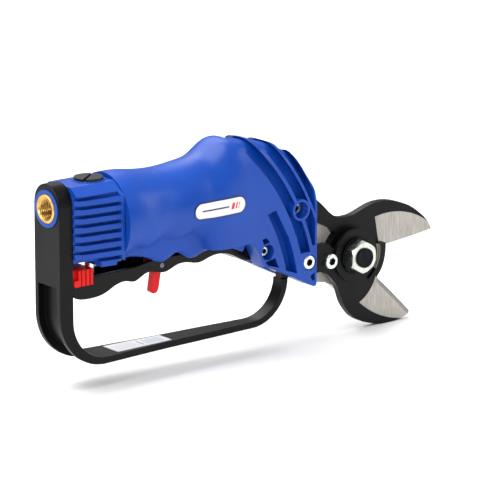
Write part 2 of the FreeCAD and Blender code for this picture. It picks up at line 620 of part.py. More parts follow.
def lower_blade():
    tang_top = [(166.0, -50.4), (201.1, -51.3)]
    notch = [(201.1, -51.3), (207.4, -56.7)]
    crown = [(207.4, -56.7), (222.0, -52.0)]
    bay = [(222.0, -52.0), (238.0, -58.4)]
    brow = [(238.0, -58.4), (246.5, -57.6)]
    horn = [(246.5, -57.6), (246.6, -61.4), (245.9, -66.4), (244.2, -71.6), (240.4, -77.0)]
    edge = [(240.4, -77.0), (240.0, -78.0)]
    cut = [(240.0, -78.0), (253.6, -90.6), (267.4, -104.3)]
    jaw = [(267.4, -104.3), (261.8, -106.5), (250.5, -108.1), (242.5, -107.8), (234.6, -106.2),
           (226.6, -103.4), (220.2, -99.3), (216.3, -94.9), (213.1, -90.0), (211.5, -86.0),
           (209.1, -79.9), (203.6, -72.8), (198.1, -68.6), (192.6, -67.9)]
    tang_low = [(192.6, -67.9), (166.0, -66.5)]
    rear = [(166.0, -66.5), (166.0, -50.4)]
    plate = side_plate([tang_top, notch, crown, bay, brow, horn, edge, cut, jaw, tang_low, rear],
                       NEAR_Y0, NEAR_Y1)
    plate = fuse(plate, rod_y(BOSS_R, NEAR_Y0 - 1.5, NEAR_Y0 + 1, PIVOT))
    recess = ring_y(BOSS_R + 0.3, HORN_R, NEAR_Y0 - 1, NEAR_Y0 + 1.6, PIVOT)
    sector = side_polygon([PIVOT, (262.0, -52.0), (262.0, -92.0), (236.0, -84.0)], NEAR_Y0 - 2, NEAR_Y1)
    plate = plate.cut(recess.common(sector))
    bevel = Part.makePolygon([Vector(0, NEAR_Y0 - 0.1, -3.0), Vector(0, NEAR_Y1 - 0.3, 4.0),
                              Vector(0, NEAR_Y0 - 0.1, 4.0), Vector(0, NEAR_Y0 - 0.1, -3.0)])
    wedge = Part.Face(bevel).extrude(Vector(48, 0, 0))
    wedge.rotate(Vector(0, 0, 0), ALONG_Y, 43.8)
    wedge.translate(Vector(240.6, 0, -78.6))
    plate = plate.cut(wedge)
    plate = plate.cut(rod_y(5.0, -15, NEAR_Y0, TANG_SCREW))
    for centre, r in ((PIVOT, BOLT_R), (TANG_SCREW, TANG_SHANK_R), (FRONT_SCREW, SCREW_R)):
        plate = plate.cut(rod_y(r, -15, 0, centre))
    return plate


def blade_carrier():
    outline = [(153.0, -17.6), (180.0, -17.6), (188.0, -28.0), (197.0, -37.0), (208.0, -44.0), (220.0, -47.0)]
    low = [(221.0, -86.4), (217.5, -84.8), (212.8, -80.8), (208.1, -78.5), (201.8, -77.1), (190.0, -76.0),
           (153.0, -56.5)]
    plate = side_polygon(outline + [(236.0, -50.0), (236.0, -74.0)] + low, FAR_Y0, FAR_Y1)
    eye = rod_y(BOSS_R, FAR_Y0, FAR_Y1, PIVOT)
    rest = side_polygon([(222.0, -40.0), (260.0, -40.0), (260.0, -90.0), (222.0, -90.0)], 0, 10)
    plate = fuse(plate.cut(rest), eye)
    for centre, r in ((PIVOT, BOLT_R), (TANG_SCREW, TANG_SHANK_R), (FRONT_SCREW, SCREW_R),
                      (UPPER_SCREW, SCREW_R)):
        plate = plate.cut(rod_y(r, 0, 15, centre))
    return plate


def near_cheek():
    outline = [(153.0, -17.6), (180.6, -17.6), (180.6, -70.0), (153.0, -55.0)]
    plate = side_polygon(outline, CHEEK_Y0, CHEEK_Y1)
    for centre in (FRONT_SCREW, UPPER_SCREW):
        plate = plate.cut(rod_y(SCREW_R, -20, 0, centre))
    return plate


def carrier_spacer():
    block = box(184.0, 206.0, NEAR_Y1, FAR_Y0, -69.0, -54.0)
    block = block.cut(rod_y(17.6, -5, 5, PIVOT))
    block = block.cut(rod_y(TANG_SHANK_R, -5, 5, TANG_SCREW))
    return block


def pivot_bolt():
    shank = rod_y(BOLT_R, NUT_FACE_Y - 1.3, 10.2, PIVOT)
    head = hexagon_y(18.0, 10.2, 17.7, PIVOT, 12)
    return shank.fuse(head)


def pivot_nut():
    nut = hexagon_y(18.0, NUT_FACE_Y, -10.2, PIVOT, 29)
    nut = nut.common(Part.makeCone(9.2, 12.2, 3.0, Vector(PIVOT[0], NUT_FACE_Y, PIVOT[1]), ALONG_Y)
                     .fuse(rod_y(12.2, NUT_FACE_Y + 3.0, -10.0, PIVOT)))
    return nut.cut(rod_y(BOLT_R, -20, 0, PIVOT))


def pivot_washer():
    return ring_y(BOLT_R, 11.4, -10.2, NEAR_Y0 - 1.5, PIVOT)


def bolt_washer():
    return ring_y(BOLT_R, 12.0, FAR_Y1, 10.2, PIVOT)


# ---------------------------------------------------------------- screws
def screw_y(centre, y_head, y_end, r_head, head_t, r_shank=SCREW_R):
    """Pan-head screw along Y with a hexagon socket; the head is at y_head."""
    way = 1 if y_end > y_head else -1
    low, high = sorted((y_head, y_head + way * head_t))
    head = rod_y(r_head, low, high, centre)
    rim = [e for e in head.Edges if max(abs(e.BoundBox.YMin - y_head), abs(e.BoundBox.YMax - y_head)) < 1e-3]
    head = head.makeFillet(0.8, rim)
    low, high = sorted((y_head + way * head_t, y_end))
    screw = head.fuse(rod_y(r_shank, low, high, centre))
    low, high = sorted((y_head - way, y_head + way * head_t * SOCKET_DEPTH_SHARE))
    return screw.cut(hexagon_y(r_head * SOCKET_SHARE, low, high, centre, 12.0))


def upper_screws():
    near = screw_y(UPPER_SCREW, -15.6, CHEEK_Y1 - 0.2, 4.2, 2.8)
    far = screw_y(UPPER_SCREW, 15.6, FAR_Y0 + 0.4, 4.2, 2.8)
    return Part.makeCompound([near, far])


def lock_nut(centre, y0, y1):
    return hexagon_y(7.4, y0, y1, centre).cut(rod_y(SCREW_R, y0 - 1, y1 + 1, centre))


# ---------------------------------------------------------------- trigger group
def trigger():
    low = [(11.2, -51.6), (15.0, -54.2), (20.0, -55.1), (28.0, -55.0), (34.6, -53.6), (40.1, -51.1),
           (45.6, -49.3), (50.1, -49.3), (55.4, -50.3), (60.6, -48.2), (65.6, -46.4), (71.0, -47.2),
           (77.8, -48.2), (85.7, -45.6), (93.6, -45.1), (102.6, -46.6), (110.5, -44.6), (117.4, -43.8),
           (126.5, -45.8), (135.7, -50.4), (140.0, -51.6), (144.5, -51.6)]
    front = [(144.5, -51.6), (150.9, -44.8)]
    top_front = [(150.9, -44.8), (144.0, -38.0)]
    top = [(144.0, -38.0), (118.0, -39.0)]
    rim = [(118.0, -39.0), (68.0, -39.4)]
    slope = [(68.0, -39.4), (56.0, -41.4)]
    bank = [(56.0, -41.4), (24.2, -42.2)]
    step = [(24.2, -42.2), (24.2, -46.2)]
    ledge = [(24.2, -46.2), (11.2, -46.2)]
    end = [(11.2, -46.2), (11.2, -51.6)]
    solid = side_plate([low, front, top_front, top, rim, slope, bank, step, ledge, end],
                       -TRIGGER_HALF_W, TRIGGER_HALF_W)
    wave = [e for e in solid.Edges if e.BoundBox.YLength < 0.1 and e.BoundBox.XLength > 100
            and e.BoundBox.ZMax < -40]
    solid = solid.makeFillet(1.6, wave)
    inside = TRIGGER_HALF_W - TRIGGER_WALL
    hollow = side_polygon([(14.0, -30), (14.0, -49.4), (30.0, -50.4), (44.0, -46.8), (56.0, -46.6),
                            (65.0, -44.4), (70.0, -45.6), (80.0, -45.8), (86.0, -43.4), (93.0, -43.0),
                            (102.0, -43.8),
                           (112.0, -42.2), (124.0, -42.4), (134.0, -44.6), (134.0, -30)],
                          -inside, inside)
    solid = solid.cut(hollow)
    pad = rod_z(4.0, -52.0, -47.0, VALVE_X)
    solid = fuse(solid, pad)
    solid = solid.cut(box(69.0, 81.5, -3.1, 3.1, -55, -35))
    solid = solid.cut(rod_y(LEVER_PIN_R, -20, 20, LEVER_PIVOT))
    return solid.cut(rod_y(TRIGGER_BOLT_R + 0.06, -20, 20, TRIGGER_PIVOT))


def safety_lever():
    lean = [(74.4, -46.6), (80.0, -47.0), (77.6, -59.5), (76.2, -61.6), (73.6, -61.9), (72.2, -60.4)]
    tab = side_polygon(lean, -LEVER_TAB_HALF, LEVER_TAB_HALF)
    upright = [e for e in tab.Edges if e.BoundBox.YLength > LEVER_TAB_HALF and e.BoundBox.ZMax < -58.5]
    tab = tab.makeFillet(0.8, upright)
    hub = rod_y(3.8, -LEVER_HUB_HALF, LEVER_HUB_HALF, LEVER_PIVOT)
    neck = side_polygon([(71.4, -43.4), (78.0, -43.4), (80.0, -47.2), (74.2, -47.2)],
                        -LEVER_TAB_HALF, LEVER_TAB_HALF)
    return fuse(hub, neck, tab).cut(rod_y(LEVER_PIN_R + 0.05, -5, 5, LEVER_PIVOT))


def lever_pin():
    return rod_y(LEVER_PIN_R, -TRIGGER_HALF_W - 0.2, TRIGGER_HALF_W + 0.2, LEVER_PIVOT)


def lever_spring():
    spring = coil_spring(Vector(LEVER_PIVOT[0], 3.2, LEVER_PIVOT[1]), ALONG_Y, 1.95, 0.3, 2.8, 3)
    return spring


def trigger_lock():
    block = box(10.2, 23.4, -12.0, 12.0, -45.8, -36.2)
    block = block.cut(box(9, 13.2, -13, -9.6, -42.0, -35)).cut(box(9, 13.2, 9.6, 13, -42.0, -35))
    for y0, y1 in ((-13.0, -11.0), (11.0, 13.0)):
        for x in (15.2, 18.2, 21.2):
            block = block.cut(box(x - 0.5, x + 0.5, y0, y1, -46, -36))
    return block.fuse(box(15.0, 22.0, -4.0, 4.0, -49.0, -45.6)).removeSplitter()


# ---------------------------------------------------------------- labels
def name_label():
    skin = housing_form(-0.4, -0.4).cut(housing_form())
    x0, x1, z, r = 88.0, 126.0, -11.6, 5.2
    oval = fuse(box(x0 + r, x1 - r, -40, -15, z - r, z + r),
                rod_y(r, -40, -15, (x0 + r, z)), rod_y(r, -40, -15, (x1 - r, z)))
    return oval.common(skin)


# ---------------------------------------------------------------- assembly
parts["barrel_housing"] = barrel_housing()
parts["valve_block"] = valve_block()
parts["hand_guard"] = hand_guard()
parts["inlet_bush"] = inlet_bush()
parts["top_plug"] = top_plug()
parts["plug_seal"] = plug_seal()
parts["valve_seat"] = valve_seat()
parts["valve_stem"] = valve_stem()
parts["valve_disc"] = valve_disc()
parts["valve_spring"] = valve_spring()
parts["block_screws"] = block_screws()
parts["cylinder_liner"] = cylinder_liner()
parts["cylinder_cap"] = cylinder_cap()
parts["cap_seal"] = cap_seal()
parts["rod_guide"] = rod_guide()
parts["rod_seal"] = rod_seal()
parts["piston"] = piston()
parts["piston_seal"] = piston_seal()
parts["piston_rod"] = piston_rod()
parts["rod_fork"] = rod_fork()
parts["fork_pin"] = fork_pin()
parts["return_spring"] = return_spring()
parts["upper_blade"] = upper_blade()
parts["blade_bush"] = blade_bush()
parts["lower_blade"] = lower_blade()
parts["blade_carrier"] = blade_carrier()
parts["near_cheek"] = near_cheek()
parts["carrier_spacer"] = carrier_spacer()
parts["pivot_bolt"] = pivot_bolt()
parts["pivot_nut"] = pivot_nut()
parts["pivot_washer"] = pivot_washer()
parts["bolt_washer"] = bolt_washer()
parts["upper_screws"] = upper_screws()
parts["front_screw"] = screw_y(FRONT_SCREW, -20.8, 20.8, 4.3, 3.2)
parts["front_nut"] = lock_nut(FRONT_SCREW, 17.6, 20.8)
parts["tang_screw"] = screw_y(TANG_SCREW, -10.4, 8.4, 4.6, 2.9, TANG_SHANK_R)
parts["trigger_screw"] = screw_y(TRIGGER_PIVOT, -17.8, 18.4, 3.2, 2.4)
parts["trigger_nut"] = lock_nut(TRIGGER_PIVOT, 15.4, 18.2)
parts["trigger"] = trigger()
parts["safety_lever"] = safety_lever()
parts["lever_pin"] = lever_pin()
parts["lever_spring"] = lever_spring()
parts["trigger_lock"] = trigger_lock()
parts["name_label"] = name_label()
parts["guard_label"] = guard_label()

os.makedirs("parts", exist_ok=True)
for name, shape in parts.items():
    if not shape.isValid():
        print("not valid:", name)
    print(f"{name:16s} solids {len(shape.Solids)} volume {shape.Volume / 1000:.2f} cm3")
    shape.exportStep(f"parts/{name}.step")
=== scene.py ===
"""Looks of the pneumatic pruning shear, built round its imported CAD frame. Metres."""
import json
import math

import bpy
import bmesh
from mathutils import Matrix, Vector


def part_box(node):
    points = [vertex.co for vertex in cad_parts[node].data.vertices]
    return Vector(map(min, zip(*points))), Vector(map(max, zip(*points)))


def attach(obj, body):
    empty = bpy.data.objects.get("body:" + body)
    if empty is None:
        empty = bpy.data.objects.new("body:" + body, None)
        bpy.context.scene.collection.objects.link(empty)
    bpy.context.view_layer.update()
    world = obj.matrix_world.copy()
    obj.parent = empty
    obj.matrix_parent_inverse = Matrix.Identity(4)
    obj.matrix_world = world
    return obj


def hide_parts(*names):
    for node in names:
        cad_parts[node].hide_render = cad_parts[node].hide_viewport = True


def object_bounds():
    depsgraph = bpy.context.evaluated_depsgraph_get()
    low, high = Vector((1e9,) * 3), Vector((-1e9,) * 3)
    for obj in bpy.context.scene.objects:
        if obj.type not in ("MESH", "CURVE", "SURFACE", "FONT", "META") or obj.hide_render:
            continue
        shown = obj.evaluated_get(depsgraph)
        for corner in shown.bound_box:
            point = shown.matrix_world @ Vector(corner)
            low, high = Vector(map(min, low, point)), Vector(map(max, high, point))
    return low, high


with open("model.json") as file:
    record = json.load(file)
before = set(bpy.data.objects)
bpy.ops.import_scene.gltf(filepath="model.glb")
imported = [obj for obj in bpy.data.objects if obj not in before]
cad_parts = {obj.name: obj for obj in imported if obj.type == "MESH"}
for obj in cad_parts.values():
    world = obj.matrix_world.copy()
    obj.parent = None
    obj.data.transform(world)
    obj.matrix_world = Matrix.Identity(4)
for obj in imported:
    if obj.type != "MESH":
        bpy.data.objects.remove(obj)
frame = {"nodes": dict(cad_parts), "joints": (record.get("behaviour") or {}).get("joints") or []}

start_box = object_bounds()
nodes = frame["nodes"]


# ------------------------------------------------------------------ places read from the frame
def joint(name):
    return next(j for j in frame["joints"] if j["name"] == name)


PIVOT = Vector(joint("blade_pivot")["pos_m"])
INLET = Vector((0.0, 0.0, 0.0))

# ------------------------------------------------------------------ where the blades are ground bare
# Circles are (x, z, radius) and lines are (point, normal), all in the side plane.
UPPER_GRIND_ARC = (0.2529, -0.0932, 0.0525)
UPPER_GRIND_START = ((0.2435, -0.0500), (0.985, 0.174))
LOWER_GRIND_ARC = (0.2679, -0.0450, 0.0628)
LOWER_HOLLOW = (0.2150, -0.0690, 0.0252)
LOWER_GRIND_START = ((0.2400, -0.0784), (-0.69, -0.72))
BOSS_WALL_RADII = (0.01655, 0.0202)
BOSS_WALL_NORMALS = ((0.55, 0.835), (0.95, 0.3))
CRISP = 0.00012

# ------------------------------------------------------------------ printed labels
BARREL_LABEL_BORDER = 0.0007
HAIRLINE = 0.00005
PRINT_SLANT = 0.35
PRINT_RED = (205, 40, 42)
PRINT_NAVY = (30, 36, 60)
# (left, right, half height, colour), from the middle of the label
BARREL_LABEL_BARS = (
    (0.0080, 0.0102, 0.0018, PRINT_RED),
    (0.0112, 0.0124, 0.0018, PRINT_RED),
    (0.0134, 0.0140, 0.0018, PRINT_RED),
    (-0.0135, 0.0060, 0.0004, PRINT_NAVY),
)
# (start, end, colour), as shares of the label's length
GUARD_LABEL_PANELS = (
    (0.52, 0.535, (40, 42, 50)),
    (0.60, 0.92, (206, 214, 224)),
    (0.08, 0.44, (226, 226, 228)),
)
GUARD_PANEL_HALF_WIDTH = 0.0040
GUARD_PANEL_SOFT = 0.0002

# ------------------------------------------------------------------ G1/4 thread of the inlet
THREAD_MAJOR_R = 0.00658
THREAD_MINOR_R = 0.00574
THREAD_PITCH = 0.001337
THREAD_RELIEF = 0.0006
MOUTH_CHAMFER = 0.0004
FLANK_SLOPE = 1.25
ROOT_FLAT = 0.12
RING_STEPS = 96
ROWS_PER_TURN = 8

# ------------------------------------------------------------------ camera and stage
AZIMUTH = math.radians(-38.5)
ELEVATION = math.radians(14.5)
CAMERA_DISTANCE = 2.268
RIGHT_SHIFT = 0.1153
UP_SHIFT = -0.0234
LENS = 288.0
SENSOR = 36.0
FLOOR_SIZE = 60.0
FLOOR_GAP = 0.0002
TOOL_MIDDLE = (0.14, 0.0, -0.04)


# ------------------------------------------------------------------ node-tree helper
class Graph:
    """A material with short calls for the nodes that it is made of."""

    def __init__(self, name):
        self.material = bpy.data.materials.new(name)
        self.material.use_nodes = True
        self.tree = self.material.node_tree
        self.shader = self.tree.nodes["Principled BSDF"]
        coords = self.tree.nodes.new("ShaderNodeTexCoord")
        self.place = coords.outputs["Object"]

    @classmethod
    def around(cls, material):
        """The same helper round a material that is already made."""
        self = cls.__new__(cls)
        self.material = material
        self.tree = material.node_tree
        self.shader = self.tree.nodes["Principled BSDF"]
        self.place = self.tree.nodes["Texture Coordinate"].outputs["Object"]
        return self

    def node(self, kind, inputs=None, **settings):
        made = self.tree.nodes.new(kind)
        for key, value in settings.items():
            setattr(made, key, value)
        for key, value in (inputs or {}).items():
            self.put(made.inputs[key], value)
        return made

    def put(self, socket, value):
        if hasattr(value, "is_output"):
            self.tree.links.new(value, socket)
        else:
            socket.default_value = value

    def math(self, operation, a, b=0.0):
        made = self.node("ShaderNodeMath", operation=operation)
        self.put(made.inputs[0], a)
        self.put(made.inputs[1], b)
        return made.outputs[0]

    def stretch(self, scale):
        """Object coordinates stretched by a factor along each axis."""
        return self.node("ShaderNodeMapping", {"Vector": self.place, "Scale": scale}).outputs[0]

    def noise(self, scale, detail=3.0, rough=0.55, vector=None):
        """Grey noise over object coordinates, or over a stretched vector."""
        values = {"Vector": vector or self.place, "Scale": scale, "Detail": detail, "Roughness": rough}
        return self.node("ShaderNodeTexNoise", values).outputs["Fac"]

    def ramp(self, value, low, high, out_low=0.0, out_high=1.0):
        """Straight-line map of low..high to out_low..out_high, held at both ends."""
        made = self.node("ShaderNodeMapRange", {"Value": value, "From Min": low, "From Max": high,
                                                "To Min": out_low, "To Max": out_high})
        return made.outputs["Result"]

    def mix(self, factor, a, b):
        """Colour a where factor is 0 and b where it is 1. The node's colour sockets go by number."""
        made = self.node("ShaderNodeMix", data_type="RGBA")
        self.put(made.inputs[0], factor)
        self.put(made.inputs[6], a)
        self.put(made.inputs[7], b)
        return made.outputs[2]

    def length(self, a, b):
        """Length of the vector (a, b)."""
        squares = self.math("ADD", self.math("MULTIPLY", a, a), self.math("MULTIPLY", b, b))
        return self.math("SQRT", squares)

    def inverse(self, value):
        return self.math("SUBTRACT", 1.0, value)

    def between(self, value, low, high, soft):
        """1 from low to high, with an edge of width soft at each end."""
        return self.math("MULTIPLY", self.ramp(value, low, low + soft),
                         self.ramp(value, high, high + soft, 1.0, 0.0))

    def xyz(self):
        return self.node("ShaderNodeSeparateXYZ", {"Vector": self.place}).outputs

    def soft_edge(self, radius):
        """Normals rounded over sharp edges, as moulding and tumbling leave them."""
        return self.node("ShaderNodeBevel", {"Radius": radius}, samples=6).outputs["Normal"]

    def bump(self, height, strength, distance, below=None):
        made = self.node("ShaderNodeBump", {"Height": height, "Strength": strength, "Distance": distance})
        if below is not None:
            self.put(made.inputs["Normal"], below)
        return made.outputs["Normal"]

    def set(self, name, value):
        """Link or set a socket of the material's shader."""
        self.put(self.shader.inputs[name], value)


def rgb(r, g, b):
    """Linear colour from 8-bit display values."""
    def linear(v):
        v = v / 255.0
        return v / 12.92 if v <= 0.04045 else ((v + 0.055) / 1.055) ** 2.4
    return (linear(r), linear(g), linear(b), 1.0)


# ------------------------------------------------------------------ materials
def moulded(name, base, deep, roughness, grain, shine, coat=0.0):
    """Injection-moulded plastic: faint flow mottling, fine tool grain and a few handling scuffs."""
    g = Graph(name)
    flow = g.noise(38.0, 4.0, 0.6)
    fine = g.noise(900.0, 2.0)
    tone = g.math("ADD", g.ramp(flow, 0.3, 0.7, 0.0, 0.8), g.ramp(fine, 0.3, 0.7, 0.0, 0.2))
    g.set("Base Color", g.mix(tone, deep, base))
    scratch = g.noise(420.0, 2.0, vector=g.stretch((0.12, 1.0, 1.0)))
    worn = g.ramp(scratch, 0.62, 0.74, 0.0, 0.05)
    g.set("Roughness", g.math("ADD", g.ramp(flow, 0.3, 0.7, roughness - 0.05, roughness + 0.05), worn))
    texture = g.bump(g.noise(2600.0, 2.0), grain, 0.00006, g.soft_edge(0.0006))
    g.set("Normal", g.bump(flow, 0.03, 0.0003, texture))
    g.set("Specular IOR Level", shine)
    g.set("Coat Weight", coat)
    g.set("Coat Roughness", 0.22)
    return g.material


def machined(name, base, deep, roughness, axis, spacing):
    """Turned metal: fine tool marks round an axis and slight tarnish."""
    g = Graph(name)
    stain = g.noise(120.0, 4.0, 0.6)
    g.set("Base Color", g.mix(g.ramp(stain, 0.35, 0.7), base, deep))
    along = g.xyz()[axis]
    wobble = g.math("MULTIPLY", g.noise(60.0, 1.0), 0.00015)
    phase = g.math("MULTIPLY", g.math("ADD", along, wobble), 2 * math.pi / spacing)
    rings = g.math("SINE", phase)
    g.set("Roughness", g.ramp(stain, 0.3, 0.7, roughness, roughness + 0.12))
    g.set("Normal", g.bump(rings, 0.25, 0.00003))
    g.set("Metallic", 1.0)
    return g.material


def plated(name, base, deep, roughness):
    """Plated or blacked metal: slightly uneven, with a soft satin break-up."""
    g = Graph(name)
    cloud = g.noise(260.0, 5.0, 0.65)
    fine = g.noise(2400.0, 2.0)
    g.set("Base Color", g.mix(g.ramp(cloud, 0.35, 0.68), base, deep))
    g.set("Roughness", g.math("ADD", g.ramp(cloud, 0.3, 0.7, roughness, roughness + 0.12),
                              g.ramp(fine, 0.3, 0.7, 0.0, 0.05)))
    g.set("Normal", g.bump(fine, 0.12, 0.00003, g.soft_edge(0.0003)))
    g.set("Metallic", 1.0)
    return g.material


def zinc_with_painted_socket_shade(name, centre, reach, face_y):
    """Bright zinc with painted shade in its socket: inside reach of the screw's axis and below its face the
    colour is dark.
    """
    material = plated(name, rgb(238, 242, 240), rgb(210, 216, 214), 0.20)
    g = Graph.around(material)
    x, y, z = g.xyz()
    r = g.length(g.math("SUBTRACT", x, centre[0]), g.math("SUBTRACT", z, centre[1]))
    inside = g.ramp(r, reach, reach + HAIRLINE, 1.0, 0.0)
    below = g.ramp(g.math("ABSOLUTE", y), face_y - 0.00025, face_y - 0.00015, 1.0, 0.0)
    # Painted shade: the socket recess gets a dark grey colour, rgb(46, 46, 42), in place of the shade that
    # falls inside it.
    mask = g.math("MULTIPLY", inside, below)
    plain = g.shader.inputs["Base Color"].links[0].from_socket
    g.set("Base Color", g.mix(mask, plain, rgb(46, 46, 42)))
    return material


def ground_steel(name, base, deep, roughness, stretch, metallic=0.45):
    """Surface-ground steel with fine straight grinding marks."""
    g = Graph(name)
    lines = g.noise(900.0, 3.0, 0.7, g.stretch(stretch))
    cloud = g.noise(70.0, 3.0)
    tone = g.math("ADD", g.ramp(lines, 0.3, 0.7, 0.0, 0.5), g.ramp(cloud, 0.3, 0.7, 0.0, 0.5))
    g.set("Base Color", g.mix(tone, base, deep))
    g.set("Roughness", g.ramp(lines, 0.3, 0.7, roughness - 0.05, roughness + 0.10))
    g.set("Normal", g.bump(lines, 0.25, 0.00004))
    g.set("Metallic", metallic)
    return g.material


def soft_rubber(name):
    """Black seal rubber with a faint grey bloom."""
    g = Graph(name)
    bloom = g.noise(300.0, 4.0)
    g.set("Base Color", g.mix(g.ramp(bloom, 0.3, 0.75), rgb(22, 22, 23), rgb(40, 40, 41)))
    g.set("Roughness", g.ramp(bloom, 0.3, 0.7, 0.5, 0.7))
    g.set("Normal", g.bump(g.noise(1800.0), 0.2, 0.00005))
    return g.material


def outside_circle(g, cx, cz, radius):
    """1 outside a circle in the side plane and 0 inside it, with a crisp edge."""
    x, _, z = g.xyz()
    r = g.length(g.math("SUBTRACT", x, cx), g.math("SUBTRACT", z, cz))
    return g.ramp(r, radius - CRISP, radius + CRISP)


def beyond_line(g, point, normal):
    """1 on the side of a line that normal points to, in the side plane."""
    x, _, z = g.xyz()
    along = g.math("ADD", g.math("MULTIPLY", g.math("SUBTRACT", x, point[0]), normal[0]),
                   g.math("MULTIPLY", g.math("SUBTRACT", z, point[1]), normal[1]))
    return g.ramp(along, -CRISP, CRISP)


def blade_finish(name, bare_mask):
    """Black-coated steel with a bare ground cutting face where bare_mask(graph) is 1."""
    g = Graph(name)
    mask = bare_mask(g)
    peel = g.noise(700.0, 3.0)
    cloud = g.noise(60.0, 4.0)
    coat = g.mix(g.ramp(cloud, 0.3, 0.7), rgb(7, 7, 8), rgb(14, 14, 15))
    g.set("Specular IOR Level", 0.14)
    lines = g.noise(800.0, 3.0, 0.7, g.stretch((1.0, 1.0, 0.1)))
    steel = g.mix(g.ramp(lines, 0.3, 0.7), rgb(178, 174, 167), rgb(150, 146, 139))
    g.set("Base Color", g.mix(mask, coat, steel))
    dull = g.ramp(peel, 0.3, 0.7, 0.34, 0.46)
    bright = g.ramp(lines, 0.3, 0.7, 0.34, 0.48)
    g.set("Roughness", g.math("ADD", g.math("MULTIPLY", dull, g.inverse(mask)),
                              g.math("MULTIPLY", bright, mask)))
    g.set("Metallic", g.math("MULTIPLY", mask, 0.8))
    texture = g.bump(g.noise(1500.0, 2.0), 0.35, 0.00004, g.soft_edge(0.0004))
    g.set("Normal", g.bump(mask, -0.5, 0.00025, texture))
    return g.material


def upper_bare(g):
    """Cutting face of the moving blade: under an arc and in front of a slanted line."""
    inside = g.inverse(outside_circle(g, *UPPER_GRIND_ARC))
    return g.math("MULTIPLY", inside, beyond_line(g, *UPPER_GRIND_START))


def lower_bare(g):
    """Cutting face of the fixed blade: over an arc, outside a hollow, and the wall by the boss."""
    inside = g.inverse(outside_circle(g, *LOWER_GRIND_ARC))
    hollow = outside_circle(g, *LOWER_HOLLOW)
    face = g.math("MULTIPLY", g.math("MULTIPLY", inside, hollow), beyond_line(g, *LOWER_GRIND_START))
    middle = (PIVOT.x, PIVOT.z)
    inner, outer = BOSS_WALL_RADII
    band = g.math("MULTIPLY", outside_circle(g, *middle, inner), g.inverse(outside_circle(g, *middle, outer)))
    first, second = BOSS_WALL_NORMALS
    sector = g.math("MULTIPLY", beyond_line(g, middle, first), beyond_line(g, middle, second))
    return g.math("MAXIMUM", face, g.math("MULTIPLY", band, sector))


def label_print(name, low, high):
    """White film with a dark border that follows its rounded outline, and plain coloured bars."""
    g = Graph(name)
    x, _, z = g.xyz()
    middle_x, middle_z = (low.x + high.x) / 2, (low.z + high.z) / 2
    half_length, radius = (high.x - low.x) / 2, (high.z - low.z) / 2
    dx = g.math("SUBTRACT", g.math("ABSOLUTE", g.math("SUBTRACT", x, middle_x)), half_length - radius)
    dz = g.math("SUBTRACT", z, middle_z)
    reach = g.length(g.math("MAXIMUM", dx, 0.0), dz)
    inner_edge = radius - BARREL_LABEL_BORDER
    border = g.ramp(reach, inner_edge, inner_edge + 0.00008)
    colour = g.mix(g.noise(300.0), rgb(232, 233, 236), rgb(220, 221, 226))
    slanted = g.math("SUBTRACT", x, g.math("MULTIPLY", dz, PRINT_SLANT))
    for left, right, half_height, tint in BARREL_LABEL_BARS:
        wide = g.between(slanted, middle_x + left - HAIRLINE, middle_x + right - HAIRLINE, 2 * HAIRLINE)
        tall = g.ramp(g.math("ABSOLUTE", dz), half_height, half_height + 0.0001, 1.0, 0.0)
        colour = g.mix(g.math("MULTIPLY", wide, tall), colour, rgb(*tint))
    g.set("Base Color", g.mix(border, colour, rgb(28, 34, 74)))
    g.set("Roughness", g.ramp(g.noise(500.0), 0.3, 0.7, 0.26, 0.36))
    return g.material


def guard_print(name, low, high):
    """White film with pale grey panels in place of print."""
    g = Graph(name)
    x, y, _ = g.xyz()
    colour = g.mix(g.noise(200.0), rgb(238, 238, 240), rgb(228, 229, 232))
    span = high.x - low.x
    across = g.ramp(g.math("ABSOLUTE", y), GUARD_PANEL_HALF_WIDTH,
                    GUARD_PANEL_HALF_WIDTH + GUARD_PANEL_SOFT, 1.0, 0.0)
    for start, end, tint in GUARD_LABEL_PANELS:
        along = g.between(x, low.x + span * start, low.x + span * end, GUARD_PANEL_SOFT)
        colour = g.mix(g.math("MULTIPLY", along, across), colour, rgb(*tint))
    g.set("Base Color", colour)
    g.set("Roughness", g.ramp(g.noise(500.0), 0.3, 0.7, 0.28, 0.38))
    return g.material


def screw_finish(node, reach):
    """Zinc for a screw on the near side, with painted shade inside its socket."""
    low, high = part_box(node)
    middle = ((low.x + high.x) / 2, (low.z + high.z) / 2)
    return zinc_with_painted_socket_shade(node + "_zinc_painted_socket_shade", middle, reach, -low.y)


BLUE = moulded("moulded_blue", rgb(10, 70, 168), rgb(6, 60, 152), 0.38, 0.10, 0.26, coat=0.05)
BLACK = moulded("moulded_black", rgb(10, 10, 11), rgb(5, 5, 6), 0.38, 0.22, 0.15)
TRIGGER_BLACK = moulded("trigger_black", rgb(8, 8, 9), rgb(4, 4, 5), 0.26, 0.12, 0.16)
RED = moulded("moulded_red", rgb(226, 10, 8), rgb(204, 6, 5), 0.32, 0.10, 0.2, coat=0.05)
PLUG = moulded("plug_grey", rgb(34, 34, 36), rgb(24, 24, 26), 0.38, 0.18, 0.25)
BRASS = machined("turned_brass", rgb(226, 184, 108), rgb(190, 146, 78), 0.24, "X", 0.0004)
BUSH = machined("bush_brass", rgb(222, 182, 110), rgb(190, 146, 80), 0.26, "Z", 0.0005)
ALLOY = machined("turned_alloy", rgb(214, 216, 220), rgb(190, 192, 198), 0.28, "X", 0.0004)
NUT = plated("nut_plate", rgb(214, 216, 208), rgb(186, 190, 182), 0.16)
PIN = plated("pin_steel", rgb(120, 122, 124), rgb(92, 94, 96), 0.30)
ZINC = plated("zinc_plate", rgb(236, 240, 238), rgb(204, 212, 210), 0.20)
BOLT = plated("bolt_black", rgb(30, 32, 36), rgb(20, 21, 24), 0.36)
